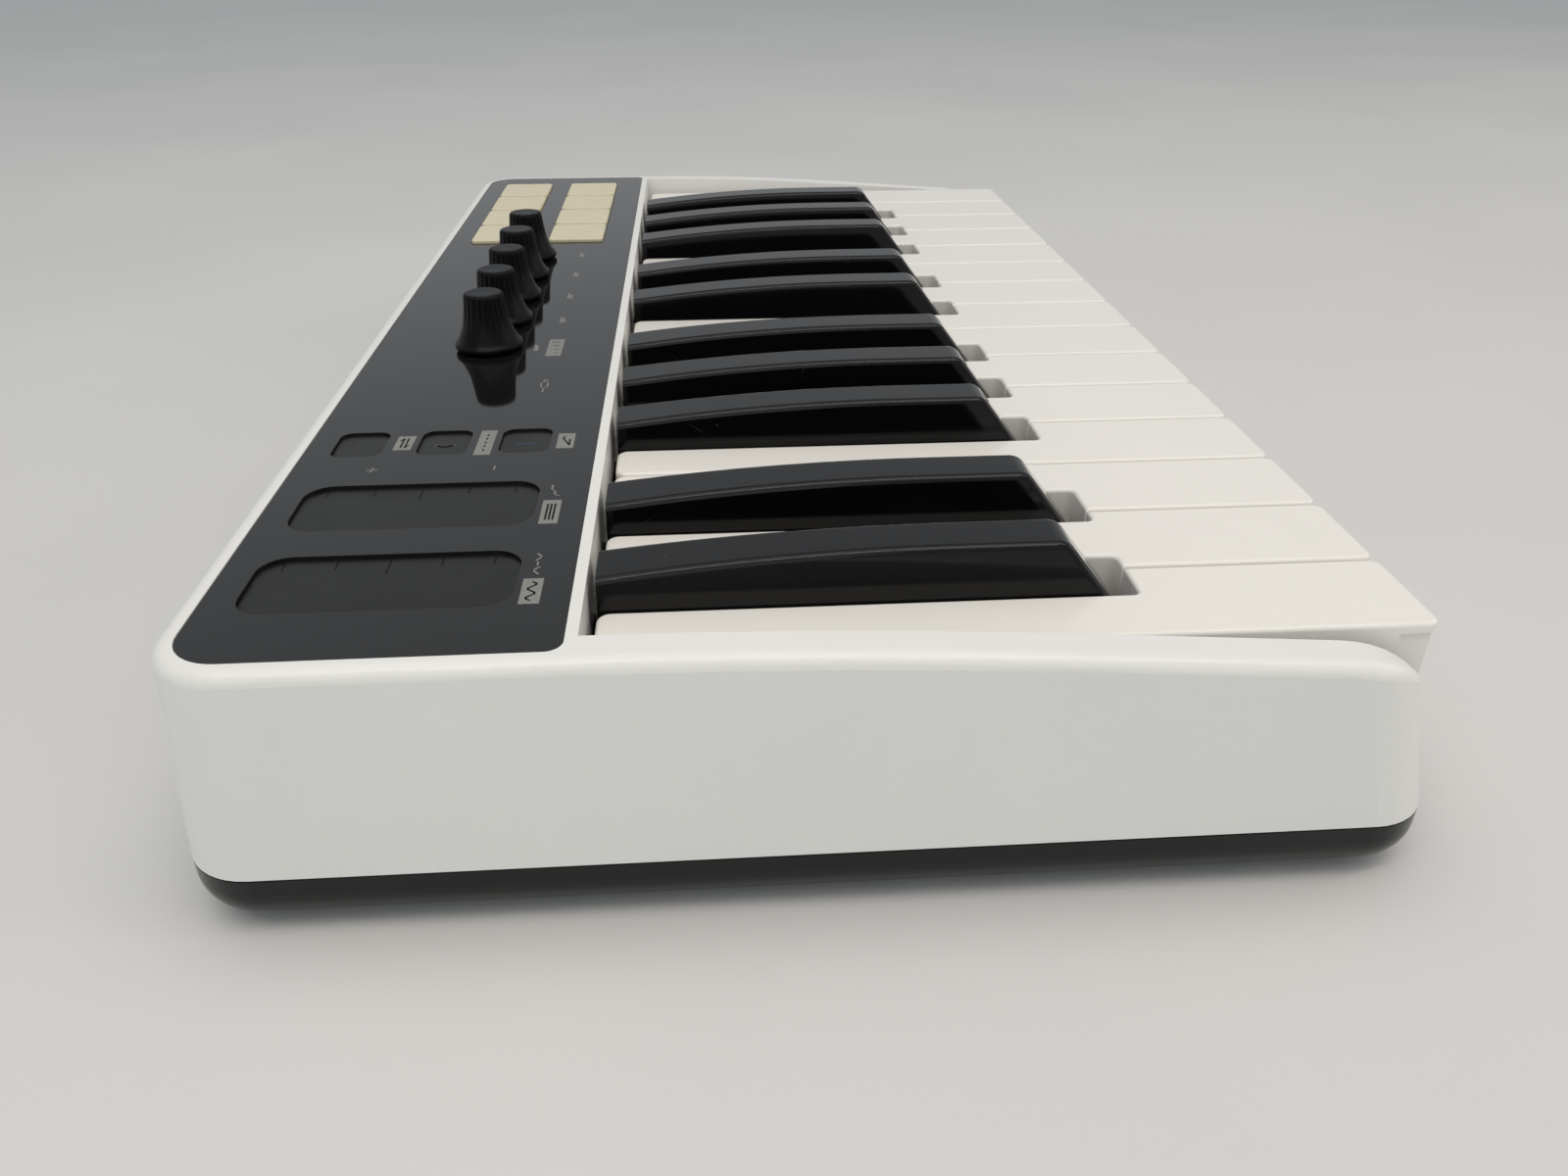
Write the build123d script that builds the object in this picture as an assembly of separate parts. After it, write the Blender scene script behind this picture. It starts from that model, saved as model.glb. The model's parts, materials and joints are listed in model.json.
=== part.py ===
from build123d import *
import math
import os

# A 25-note midi keyboard. Millimetres. X runs from the bass end to the treble end, -Y is the
# player's side, +Z is up. The origin is the middle of the footprint, on the surface it stands on.

# ------------------------------------------------------------------ keys
PITCH = 23.5                     # white key to white key
WHITES = 15
SPAN = PITCH * WHITES
KEY_GAP = 0.8                    # between neighbouring white keys
KEY_TOP = 48.05
KEY_FRONT = -106.45
KEY_BACK = 38.55
PLATE = 2.0                      # thickness of a key's top plate
KEY_WALL = 1.4
KEY_CORNER = 2.4                 # front corners, seen from above
KEY_EDGE = 0.8                   # rounding of a key's top edges
LIP_RECESS = 1.2                 # apron set back under the front lip
LIP_SIDE = 0.6                   # apron set in from the key's sides
LIP_LENGTH = 7.2
WHITE_SKIRT = 31.6               # lowest edge of a white key's side walls
APRON_BOTTOM = 24.5
NOTCH_FRONT = -57.85             # front wall of the notch for a black key
NOTCH_WIDTH = 14.3
BLACK_OFFSET = {0: -2.65, 1: 2.65, 3: -3.4, 4: 0.0, 5: 3.4}
BLACK_WIDTH = 13.3
BLACK_TOP_WIDTH = 10.2
BLACK_TOP = 57.6
BLACK_SKIRT = 29.0
BLACK_FRONT_TOP = -44.5
BLACK_FRONT_LOW = (-55.2, 43.8)
BLACK_CROWN_START = -25.0        # the crown falls away behind this line
BLACK_BACK_TOP = 53.7
BLACK_NOSE_R = 4.0
BLACK_EDGE = 1.4

# ------------------------------------------------------------------ key bed
PIVOT_Y = 60.0
PIVOT_Z = 30.0
ROD_R = 1.5
ROD_CLEAR = 0.05
BED_LOW = 19.7
BED_TOP = 21.2
BED_FRONT = -98.0
BED_BACK = 68.0
EAR = 1.6
EAR_TOP = 34.0
EAR_GAP = 0.35
GUIDE_TOP = 37.0
GUIDE_GAP = 0.3
GUIDE_LENGTH = 6.0
WHITE_GUIDE_Y = -79.0
BLACK_GUIDE_Y = -31.0
FELT = 1.8
WHITE_STOP_Y = -89.0
BLACK_STOP_Y = -43.0
REST_STOP_Y = 64.0
STOP_WIDTH = 6.0
NECK = [(34, 31.6), (34, 39), (50, 38), (64, 35), (67, 32), (67, 26), (74, 26), (74, 24),
        (67, 24), (67, 23.1), (61, 23.1), (50, 27)]
SPRING_Y = 71.5
SPRING_R = 1.6
SPRING_WIRE = 0.3
SPRING_TURNS = 5
SHELF_Z = 9.0
SHELF_BACK = 77.0

# ------------------------------------------------------------------ case
LENGTH = 375.0
DEPTH = 221.5
CORNER = 13.0
WALL = 2.2
FOOT = 1.5                       # rubber feet hold the base this far off the table
BASE_TOP = 12.7
SEAM = 13.0
BASE_ROUND = 8.0
SHELL_TOP = 53.5
END_DRAFT = 1.3                  # the shell narrows by this at each end, over its height
FRONT_DRAFT = 10.5
BACK_DRAFT = 3.2
SLOPE_START = 42.0               # the cheeks slope down in front of this line
SLOPE_DROP = 4.2                 # degrees
NOSE_START = -87.0
NOSE_R = 24.0
TOP_ROUND = 2.5
CHEEK_IN = 178.4                 # inner face of each cheek
CHEEK_WALL = 1.8
WELL_BACK = 40.05                # wall behind the keys
RAIL_TOP = 25.0
RAIL_WALL = 1.6
WALL_LOW = 42.0

# ------------------------------------------------------------------ control panel
PANEL_X = 182.75
PANEL_FRONT = 42.15
PANEL_BACK = 104.15
PANEL_BACK_R = 9.0
PANEL_FRONT_R = 3.0
PANEL_TOP = 53.3
DECK_TOP = 51.3
DECK_LOW = 49.1
FIT = 0.1                        # gap round a piece set into another
KNOB_Y = 74.55
KNOB_X = [-35.25 + 22.5 * i for i in range(5)]
KNOB_GAP = 0.5
SHAFT_R = 3.0
PAD_SIZE = (21.9, 18.5)
PAD_X = [85.95 + 23.6 * i for i in range(4)]
PAD_Y = [61.35, 87.55]
PAD_TOP = 54.3
PAD_R = 1.6
STRIP_SIZE = (19.8, 46.3)
STRIP_X = [-158.2, -128.6]
STRIP_Y = 75.1
STRIP_R = 5.5
BUTTON_SIZE = (13.2, 10.8)
BUTTON_X = -97.85
BUTTON_Y = [93.05, 75.2, 57.8]
BUTTON_R = 2.7
BOARD_LOW = 41.5
BOARD_TOP = 43.1

# ------------------------------------------------------------------ rear
MAIN_LOW = 8.0
MAIN_TOP = 9.6
MAIN_FRONT = 81.0
MAIN_BACK = 105.5
JACK_X = [-120.0, -96.0, -72.0, 60.0]
JACK_Z = 18.0
JACK_R = 3.25
JACK_BODY = 15.0
COMBO_X = 110.0
COMBO_Z = 23.5
COMBO_R = 12.0
USB_X = 20.0
USB_Z = 15.6
DC_X = -20.0
DC_Z = 15.2
DC_R = 2.8

# ------------------------------------------------------------------ battery bay
BAY = (105.0, 31.0)
BAY_Y = -46.5
BAY_ROOF = 18.2
BAY_WALL = 1.2
DOOR = (108.6, 34.6)
DOOR_THICK = 1.6

# ------------------------------------------------------------------ fasteners
SCREW_R = 1.45
SCREW_TIP = 22.6
HEAD_R = 2.75
HEAD_LOW = 2.2
HEAD_TOP = 4.6
BOSS_R = 3.2
CHEEK_LIFT = 2.6                 # the cheek screws sit higher, above the base's rounded edge
CHEEK_SCREWS = [(x, y) for x in (-182.7, 182.7) for y in (-85.0, -20.0, 40.0)]
REAR_SCREWS = [(x, 100.0) for x in (-172.5, 172.5)]
BED_SCREWS = [(x, y) for x in (-150.0, -80.0, 80.0, 150.0) for y in (-71.0, 30.0)]
SCREWS = [(x, y, CHEEK_LIFT) for x, y in CHEEK_SCREWS]
SCREWS += [(x, y, 0.0) for x, y in REAR_SCREWS + BED_SCREWS]
FEET = [(x, y) for x in (-160.0, 0.0, 160.0) for y in (-88.0, 88.0)]


def box(x0, x1, y0, y1, z0, z1):
    middle = ((x0 + x1) / 2, (y0 + y1) / 2, (z0 + z1) / 2)
    return Pos(*middle) * Box(x1 - x0, y1 - y0, z1 - z0)


def disc(x, y, z0, z1, r):
    return Pos(x, y, (z0 + z1) / 2) * Cylinder(r, z1 - z0)


def along_y(x, z, y0, y1, r):
    return Pos(x, (y0 + y1) / 2, z) * Rot(90, 0, 0) * Cylinder(r, y1 - y0)


def rounded_block(x, y, size, r, z0, z1):
    return Pos(x, y, z0) * extrude(RectangleRounded(size[0], size[1], r), amount=z1 - z0)


def side_prism(points, x0, x1):
    """A solid with this outline in Y and Z, from x0 to x1."""
    face = Plane.YZ * make_face(Polyline(points + [points[0]]))
    return Pos(x0, 0, 0) * extrude(face, amount=x1 - x0)


def black_positions():
    spots = []
    for white in range(WHITES - 1):
        if white % 7 in BLACK_OFFSET:
            spots.append((white, -SPAN / 2 + (white + 1) * PITCH + BLACK_OFFSET[white % 7]))
    return spots


BLACKS = black_positions()


def rear_spans():
    """Each key's span in X at its back, bass to treble: (is_black, index, x0, x1)."""
    after = dict(BLACKS)
    spans = []
    for white in range(WHITES):
        x0 = -SPAN / 2 + white * PITCH + KEY_GAP / 2
        x1 = x0 + PITCH - KEY_GAP
        if white - 1 in after:
            x0 = after[white - 1] + NOTCH_WIDTH / 2
        if white in after:
            x1 = after[white] - NOTCH_WIDTH / 2
        spans.append((False, white, x0, x1))
        if white in after:
            half = BLACK_WIDTH / 2
            spans.append((True, white, after[white] - half, after[white] + half))
    return spans


SPANS = rear_spans()
EARS = [SPANS[0][2] - 0.5]
EARS += [(a[3] + b[2]) / 2 for a, b in zip(SPANS, SPANS[1:])]
EARS += [SPANS[-1][3] + 0.5]


def neck(number):
    """The tail that runs back under the panel to the pivot rod."""
    inset = EAR / 2 + EAR_GAP
    x0 = EARS[number] + inset
    x1 = EARS[number + 1] - inset
    tail = side_prism(NECK, x0, x1)
    bore = Pos((x0 + x1) / 2, PIVOT_Y, PIVOT_Z) * Rot(0, 90, 0)
    return tail - bore * Cylinder(ROD_R + ROD_CLEAR, x1 - x0 + 2)


def white_key(number):
    _, white, x0_back, x1_back = SPANS[number]
    x0 = -SPAN / 2 + white * PITCH + KEY_GAP / 2
    x1 = x0 + PITCH - KEY_GAP
    plan = [(x0, KEY_FRONT), (x1, KEY_FRONT)]
    if x1_back < x1:
        plan += [(x1, NOTCH_FRONT), (x1_back, NOTCH_FRONT), (x1_back, KEY_BACK)]
    else:
        plan += [(x1, KEY_BACK)]
    if x0_back > x0:
        plan += [(x0_back, KEY_BACK), (x0_back, NOTCH_FRONT), (x0, NOTCH_FRONT)]
    else:
        plan += [(x0, KEY_BACK)]
    outline = make_face(Polyline(plan + [plan[0]]))
    back = [v for v in outline.vertices() if v.Y > KEY_BACK - 0.1]
    outline = fillet(back, 2.5)
    front = [v for v in outline.vertices() if v.Y < KEY_FRONT + 0.1]
    outline = fillet(front, KEY_CORNER)
    roots = [v for v in outline.vertices() if abs(v.Y - NOTCH_FRONT) < 0.1 and x0 + 1 < v.X < x1 - 1]
    if roots:
        outline = fillet(roots, 1.5)
    plate = Pos(0, 0, KEY_TOP - PLATE) * extrude(outline, amount=PLATE)
    plate = fillet(plate.faces().sort_by(Axis.Z)[-1].edges(), KEY_EDGE)
    walls = Pos(0, 0, WHITE_SKIRT) * extrude(outline, amount=KEY_TOP - PLATE - WHITE_SKIRT)
    front_y = KEY_FRONT + LIP_RECESS
    step_y = KEY_FRONT + LIP_LENGTH
    walls -= box(x0 - 1, x1 + 1, KEY_FRONT - 1, step_y, 0, KEY_TOP - PLATE)
    walls += box(x0 + LIP_SIDE, x1 - LIP_SIDE, front_y, step_y, WHITE_SKIRT, KEY_TOP - PLATE)
    walls += box(x0 + LIP_SIDE, x1 - LIP_SIDE, front_y, front_y + 1.6, APRON_BOTTOM, WHITE_SKIRT)
    inner_x = LIP_SIDE + KEY_WALL
    ceiling = KEY_TOP - PLATE
    hollow_front = front_y + 1.6
    hollow_back = NOTCH_FRONT - KEY_WALL
    low = WHITE_SKIRT - 1
    walls -= box(x0 + inner_x, x1 - inner_x, hollow_front, step_y + KEY_WALL, low, ceiling)
    walls -= box(x0 + KEY_WALL, x1 - KEY_WALL, step_y + KEY_WALL, hollow_back, low, ceiling)
    walls -= box(x0_back + KEY_WALL, x1_back - KEY_WALL, hollow_back, KEY_BACK - KEY_WALL, low, ceiling)
    return plate + walls + neck(number) + plunger(number)


def plunger(number):
    """The peg under a key that presses its rubber dome."""
    x = (SPANS[number][2] + SPANS[number][3]) / 2
    return box(x - 2.5, x + 2.5, 6, 11, 27.2, KEY_TOP - PLATE)


def black_key(number):
    _, _, x0, x1 = SPANS[number]
    middle = (x0 + x1) / 2
    run = KEY_BACK - BLACK_CROWN_START
    drop = BLACK_TOP - BLACK_BACK_TOP
    crown_r = (run * run + drop * drop) / (2 * drop)
    half_turn = math.asin(run / crown_r) / 2
    on_crown = (BLACK_CROWN_START + crown_r * math.sin(half_turn),
                BLACK_TOP - crown_r * (1 - math.cos(half_turn)))
    crown = ThreePointArc((BLACK_CROWN_START, BLACK_TOP), on_crown, (KEY_BACK, BLACK_BACK_TOP))
    rest = Polyline((KEY_BACK, BLACK_BACK_TOP), (KEY_BACK, BLACK_SKIRT),
                    (BLACK_FRONT_LOW[0], BLACK_SKIRT), BLACK_FRONT_LOW,
                    (BLACK_FRONT_TOP, BLACK_TOP), (BLACK_CROWN_START, BLACK_TOP))
    side = make_face(crown + rest)
    nose = side.vertices().sort_by_distance(Vector(BLACK_FRONT_TOP, BLACK_TOP, 0))[0]
    side = fillet([nose], BLACK_NOSE_R)
    body = Pos(x0, 0, 0) * extrude(Plane.YZ * side, amount=x1 - x0)
    lean = (BLACK_WIDTH - BLACK_TOP_WIDTH) / 2
    for sign in (-1, 1):
        edge = middle + sign * BLACK_WIDTH / 2
        wedge = [(edge, KEY_TOP), (edge - sign * 2 * lean, 2 * BLACK_TOP - KEY_TOP),
                 (edge + sign * 5, 2 * BLACK_TOP - KEY_TOP), (edge + sign * 5, KEY_TOP)]
        face = Plane.XZ * make_face(Polyline(wedge + [wedge[0]]))
        body -= Pos(0, 60, 0) * extrude(face, amount=130)
    flat = [e for e in body.edges() if e.center().Z > KEY_TOP + 0.5
            and abs(abs(e.center().X - middle) - BLACK_TOP_WIDTH / 2) < 1.3
            and e.center().Y < KEY_BACK - 0.5]
    body = fillet(flat, BLACK_EDGE)
    body -= box(x0 + 1.6, x1 - 1.6, BLACK_FRONT_LOW[0] + 1.6, KEY_BACK - KEY_WALL, 0, KEY_TOP - 3)
    return body + neck(number) + plunger(number)


def key_bed():
    """Folded steel tray: plate, guide tongues, pivot ears and a shelf for the springs."""
    half = SPAN / 2
    tray = box(-half, half, BED_FRONT, BED_BACK, BED_LOW, BED_TOP)
    flange = BED_TOP - BED_LOW
    tray += box(-half, half, BED_BACK - flange, BED_BACK, SHELF_Z, BED_TOP)
    tray += box(-half, half, BED_BACK - flange, SHELF_BACK, SHELF_Z - flange, SHELF_Z)
    for is_black, white, x0, x1 in SPANS:
        if is_black:
            inner = BLACK_WIDTH / 2 - 1.6 - GUIDE_GAP
            middle, y = (x0 + x1) / 2, BLACK_GUIDE_Y
        else:
            inner = (PITCH - KEY_GAP) / 2 - KEY_WALL - GUIDE_GAP
            middle, y = -SPAN / 2 + (white + 0.5) * PITCH, WHITE_GUIDE_Y
        half_y = GUIDE_LENGTH / 2
        tray += box(middle - inner, middle + inner, y - half_y, y + half_y, BED_TOP, GUIDE_TOP)
    ear = [(54, BED_TOP), (56, EAR_TOP), (64, EAR_TOP), (66, BED_TOP)]
    for x in EARS:
        tray += side_prism(ear, x - EAR / 2, x + EAR / 2)
    tray -= Pos(0, PIVOT_Y, PIVOT_Z) * Rot(0, 90, 0) * Cylinder(ROD_R + 0.02, SPAN + 10)
    for x, y in BED_SCREWS:
        tray -= disc(x, y, BED_LOW - 1, BED_TOP + 1, SCREW_R + ROD_CLEAR)
    return tray


def pivot_rod():
    reach = EARS[-1] + 3
    return Pos(0, PIVOT_Y, PIVOT_Z) * Rot(0, 90, 0) * Cylinder(ROD_R, 2 * reach)


def return_springs():
    """One extension spring per key, between the shelf and the key's tail."""
    low = SHELF_Z + SPRING_WIRE + 0.2
    height = NECK[7][1] - 0.5 - SPRING_WIRE - low
    coil = Helix(pitch=height / SPRING_TURNS, height=height, radius=SPRING_R)
    section = Plane(origin=coil @ 0, z_dir=coil % 0) * Circle(SPRING_WIRE)
    spring = sweep(section, path=coil, is_frenet=True)
    middles = [(a + b) / 2 for a, b in zip(EARS, EARS[1:])]
    return Compound(children=[Pos(x, SPRING_Y, low) * spring for x in middles])


def stop_felts():
    half = SPAN / 2 - 1
    rows = [(WHITE_STOP_Y, STOP_WIDTH), (BLACK_STOP_Y, STOP_WIDTH), (REST_STOP_Y, 4.4)]
    strips = [box(-half, half, y - w / 2, y + w / 2, BED_TOP, BED_TOP + FELT) for y, w in rows[:2]]
    middles = list(zip(EARS, EARS[1:]))
    y, w = rows[2]
    inset = EAR / 2 + EAR_GAP
    for x0, x1 in middles:
        strips.append(box(x0 + inset, x1 - inset, y - w / 2, y + w / 2, BED_TOP, BED_TOP + FELT))
    return Compound(children=strips)


def contact_board():
    return box(-SPAN / 2 + 2, SPAN / 2 - 2, -6, 22, BED_TOP + 0.1, BED_TOP + 1.7)


def dome_strips():
    """Two silicone mats with one collapsing dome per key."""
    low = BED_TOP + 1.7
    mats = []
    for x0, x1 in ((-SPAN / 2 + 3, -0.5), (0.5, SPAN / 2 - 3)):
        mat = box(x0, x1, 2, 15, low, low + 0.6)
        for _, _, a, b in SPANS:
            x = (a + b) / 2
            if x0 < x < x1:
                mat += Pos(x, 8.5, low + 0.6 + 1.5) * Cone(3.2, 2.2, 3.0)
        mats.append(mat)
    return Compound(children=mats)


def outline_loft(inset, z0, z1):
    """The case's tapering body between two heights, drawn in by an inset."""
    rise = SHELL_TOP - SEAM
    levels = []
    for z in (z0, z1):
        share = (z - SEAM) / rise
        length = LENGTH - 2 * END_DRAFT * share - 2 * inset
        front = -DEPTH / 2 + FRONT_DRAFT * share + inset
        back = DEPTH / 2 - BACK_DRAFT * share - inset
        plane = Pos(0, (front + back) / 2, z)
        levels.append(plane * RectangleRounded(length, back - front, CORNER - inset))
    return loft(Sketch() + levels, ruled=True)


def cheek_profile(drop):
    """The region under the case's top line, seen from the end, lowered by a drop."""
    top = SHELL_TOP - drop
    radians = math.radians(SLOPE_DROP)
    bend = 40.0
    slope_y = SLOPE_START - 2 * bend
    bend_r = 2 * bend / math.sin(radians)
    slope_z = top - bend_r * (1 - math.cos(radians))
    mid_z = top - bend_r * (1 - math.cos(radians / 2))
    mid_y = SLOPE_START - bend_r * math.sin(radians / 2)
    nose_z = slope_z - (slope_y - NOSE_START) * math.tan(radians)
    nose_r = NOSE_R - drop
    centre = (NOSE_START + nose_r * math.sin(radians), nose_z - nose_r * math.cos(radians))

    def on_nose(degrees):
        turn = math.radians(90 + SLOPE_DROP + degrees)
        return (centre[0] + nose_r * math.cos(turn), centre[1] + nose_r * math.sin(turn))

    line = Line((DEPTH, top), (SLOPE_START, top))
    line += ThreePointArc((SLOPE_START, top), (mid_y, mid_z), (slope_y, slope_z))
    line += Line((slope_y, slope_z), (NOSE_START, nose_z))
    line += ThreePointArc((NOSE_START, nose_z), on_nose(30), on_nose(62))
    low = (-DEPTH, on_nose(62)[1] - 40)
    line += Polyline(on_nose(62), low, (-DEPTH, 0), (DEPTH, 0), (DEPTH, top))
    return Pos(-LENGTH, 0, 0) * extrude(Plane.YZ * make_face(line), amount=2 * LENGTH)


def panel_plan(gap):
    width = 2 * (PANEL_X - gap)
    depth = PANEL_BACK - PANEL_FRONT - 2 * gap
    plan = Pos(0, (PANEL_FRONT + PANEL_BACK) / 2) * Rectangle(width, depth)
    back = [v for v in plan.vertices() if v.Y > PANEL_BACK - 1]
    plan = fillet(back, PANEL_BACK_R - gap)
    front = [v for v in plan.vertices() if v.Y < PANEL_FRONT + 1]
    return fillet(front, PANEL_FRONT_R - gap)


def top_shell():
    body = outline_loft(0, SEAM, 60) & cheek_profile(0)
    top_faces = [f for f in body.faces() if f.normal_at().Z > 0.3]
    sides = [f for f in body.faces() if abs(f.normal_at().Z) <= 0.3]
    rim = [e for f in top_faces for e in f.edges() if any(e in s.edges() for s in sides)]
    body = fillet(rim, TOP_ROUND)
    inside = outline_loft(WALL, SEAM - 1, 60)
    cheeks = inside & cheek_profile(WALL)
    cheeks -= box(-CHEEK_IN - CHEEK_WALL, CHEEK_IN + CHEEK_WALL, -DEPTH, PANEL_FRONT, 0, 70)
    cheeks -= box(-LENGTH, LENGTH, PANEL_FRONT, DEPTH, DECK_LOW, 70)
    well = box(-CHEEK_IN, CHEEK_IN, -DEPTH, WELL_BACK, 0, 70)
    rail = body - outline_loft(RAIL_WALL, SEAM - 1, 60)
    rail &= box(-CHEEK_IN - 1, CHEEK_IN + 1, -DEPTH, 0, 0, RAIL_TOP)
    body = body - cheeks - (well - rail)
    body -= box(-CHEEK_IN, CHEEK_IN, WELL_BACK - 1, PANEL_FRONT + 1, 0, WALL_LOW)
    body -= Pos(0, 0, DECK_TOP) * extrude(panel_plan(0), amount=10)
    bosses = [(x, y, 32.0, CHEEK_LIFT) for x, y in CHEEK_SCREWS]
    bosses += [(x, y, DECK_LOW, 0.0) for x, y in REAR_SCREWS]
    for x, y, top, lift in bosses:
        body += disc(x, y, SEAM, top, BOSS_R)
        body -= disc(x, y, SEAM - 1, SCREW_TIP + lift + 2, SCREW_R + ROD_CLEAR)
    for x, y in ((-110, 50), (-110, 99), (-60, 50), (-60, 99), (66, 50), (66, 99), (172, 74.5)):
        body += disc(x, y, BOARD_TOP, DECK_LOW, 2.4)
    for x in KNOB_X:
        body -= disc(x, KNOB_Y, DECK_LOW - 1, DECK_TOP + 1, 3.8)
    for x in PAD_X:
        for y in PAD_Y:
            size = (PAD_SIZE[0] + 0.6, PAD_SIZE[1] + 0.6)
            body -= rounded_block(x, y, size, PAD_R + 0.3, DECK_LOW - 1, DECK_TOP + 1)
    return cut_ports(body)


def cut_ports(body):
    """Openings for the sockets in the rear wall, which the seam runs through."""
    for x in JACK_X:
        body -= along_y(x, JACK_Z, 100, 115, 4.9)
    body -= along_y(COMBO_X, COMBO_Z, 100, 115, COMBO_R + 0.15)
    body -= box(USB_X - 6.2, USB_X + 6.2, 100, 115, MAIN_TOP - 0.15, USB_Z + 5.7)
    body -= along_y(DC_X, DC_Z, 100, 115, 4.4)
    body -= box(DC_X - 4.6, DC_X + 4.6, 100, 107.6, MAIN_TOP - 0.15, DC_Z)
    return body


def bottom_shell():
    floor = FOOT + WALL
    body = Pos(0, 0, FOOT) * extrude(RectangleRounded(LENGTH, DEPTH, CORNER), amount=BASE_TOP - FOOT)
    body = fillet(body.faces().sort_by(Axis.Z)[0].edges(), BASE_ROUND)
    plan = RectangleRounded(LENGTH - 2 * WALL, DEPTH - 2 * WALL, CORNER - WALL)
    inside = Pos(0, 0, floor) * extrude(plan, amount=20)
    inside = fillet(inside.faces().sort_by(Axis.Z)[0].edges(), BASE_ROUND - WALL)
    body -= inside
    bay_x, bay_y = BAY[0] / 2, BAY[1] / 2
    body += box(-bay_x - BAY_WALL, bay_x + BAY_WALL, BAY_Y - bay_y - BAY_WALL, BAY_Y + bay_y + BAY_WALL,
                floor, BAY_ROOF + BAY_WALL)
    body -= box(-bay_x, bay_x, BAY_Y - bay_y, BAY_Y + bay_y, 0, BAY_ROOF)
    body -= box(-DOOR[0] / 2 - 0.2, DOOR[0] / 2 + 0.2, BAY_Y - DOOR[1] / 2 - 0.2,
                BAY_Y + DOOR[1] / 2 + 0.2, 0, FOOT + DOOR_THICK + 0.1)
    for x, y in CHEEK_SCREWS:
        body += disc(x, y, BASE_TOP - 5, BASE_TOP, BOSS_R)
    for x, y in REAR_SCREWS:
        body += disc(x, y, floor, BASE_TOP, BOSS_R + 0.3)
    for x, y in BED_SCREWS:
        body += disc(x, y, floor, BED_LOW, BOSS_R + 0.3)
    for x, y, lift in SCREWS:
        body -= disc(x, y, 0, BED_LOW + 1, SCREW_R + 0.15)
        body -= disc(x, y, 0, HEAD_TOP + lift, HEAD_R + 0.1)
    for x in (-140, -46, 40, 140):
        body += disc(x, 84.5, floor, MAIN_LOW, 2.6)
    for x, y in FEET:
        body -= disc(x, y, 0, FOOT + 0.6, 6.1)
    return cut_ports(body)


def fascia_panel():
    plate = Pos(0, 0, DECK_TOP) * extrude(panel_plan(FIT), amount=PANEL_TOP - DECK_TOP)
    for x in STRIP_X:
        plate -= rounded_block(x, STRIP_Y, STRIP_SIZE, STRIP_R, DECK_TOP - 1, PANEL_TOP + 1)
    for y in BUTTON_Y:
        plate -= rounded_block(BUTTON_X, y, BUTTON_SIZE, BUTTON_R, DECK_TOP - 1, PANEL_TOP + 1)
    for x in KNOB_X:
        plate -= disc(x, KNOB_Y, DECK_TOP - 1, PANEL_TOP + 1, 3.8)
    for x in PAD_X:
        for y in PAD_Y:
            size = (PAD_SIZE[0] + 0.6, PAD_SIZE[1] + 0.6)
            plate -= rounded_block(x, y, size, PAD_R + 0.3, DECK_TOP - 1, PANEL_TOP + 1)
    return plate


def touch_strips():
    size = (STRIP_SIZE[0] - 2 * FIT, STRIP_SIZE[1] - 2 * FIT)
    strips = [rounded_block(x, STRIP_Y, size, STRIP_R - FIT, DECK_TOP, PANEL_TOP - 0.7) for x in STRIP_X]
    return Compound(children=strips)


def touch_buttons():
    size = (BUTTON_SIZE[0] - 2 * FIT, BUTTON_SIZE[1] - 2 * FIT)
    keys = [rounded_block(BUTTON_X, y, size, BUTTON_R - FIT, DECK_TOP, PANEL_TOP - 0.6) for y in BUTTON_Y]
    return Compound(children=keys)


def knob(number):
    """Fluted bell-shaped cap with the stem that turns in its encoder."""
    low = PANEL_TOP + KNOB_GAP
    side = Spline((8.45, low + 1.5), (7.4, low + 3.0), (6.2, low + 6.1), (5.5, low + 9.7), (5.05, low + 13.6),
                  tangents=((-0.8, 0.6), (-0.08, 1)))
    edge = side + Polyline((5.05, low + 13.6), (4.6, low + 14.3), (0, low + 14.3), (0, 44.5),
                           (SHAFT_R, 44.5), (SHAFT_R, low), (7.9, low), (8.65, low + 0.5), (8.65, low + 1.3),
                           (8.45, low + 1.5))
    body = revolve(Plane.XZ * make_face(edge), axis=Axis.Z)
    flutes = 20
    lean = math.degrees(math.atan2(0.85, 8.0))
    for i in range(flutes):
        cut = Pos(5.75, 0, low + 9.5) * Rot(0, -lean, 0) * Cylinder(0.42, 11)
        body -= Rot(0, 0, 360 * i / flutes) * cut
    return Pos(KNOB_X[number], KNOB_Y, 0) * body


def drum_pad(x, y):
    """Silicone pad with a flange that keeps it under the deck."""
    top = rounded_block(x, y, PAD_SIZE, PAD_R, DECK_LOW - 1.6, PAD_TOP)
    top = fillet(top.faces().sort_by(Axis.Z)[-1].edges(), 0.5)
    flange = rounded_block(x, y, (PAD_SIZE[0] + 1.1, PAD_SIZE[1] + 3.0), PAD_R, DECK_LOW - 1.6, DECK_LOW - 0.1)
    skirt = box(x - 8, x + 8, y - 7, y + 7, DECK_LOW - 3.5, DECK_LOW - 1.6)
    return top + flange + skirt


def encoders():
    bodies = []
    for x in KNOB_X:
        body = box(x - 6, x + 6, KNOB_Y - 6, KNOB_Y + 6, BOARD_TOP, DECK_LOW - 0.3)
        body += disc(x, KNOB_Y, DECK_LOW - 0.3, DECK_TOP - 0.3, 3.55)
        body -= disc(x, KNOB_Y, 44.2, DECK_TOP + 1, SHAFT_R + 0.08)
        bodies.append(body)
    return Compound(children=bodies)


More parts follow.
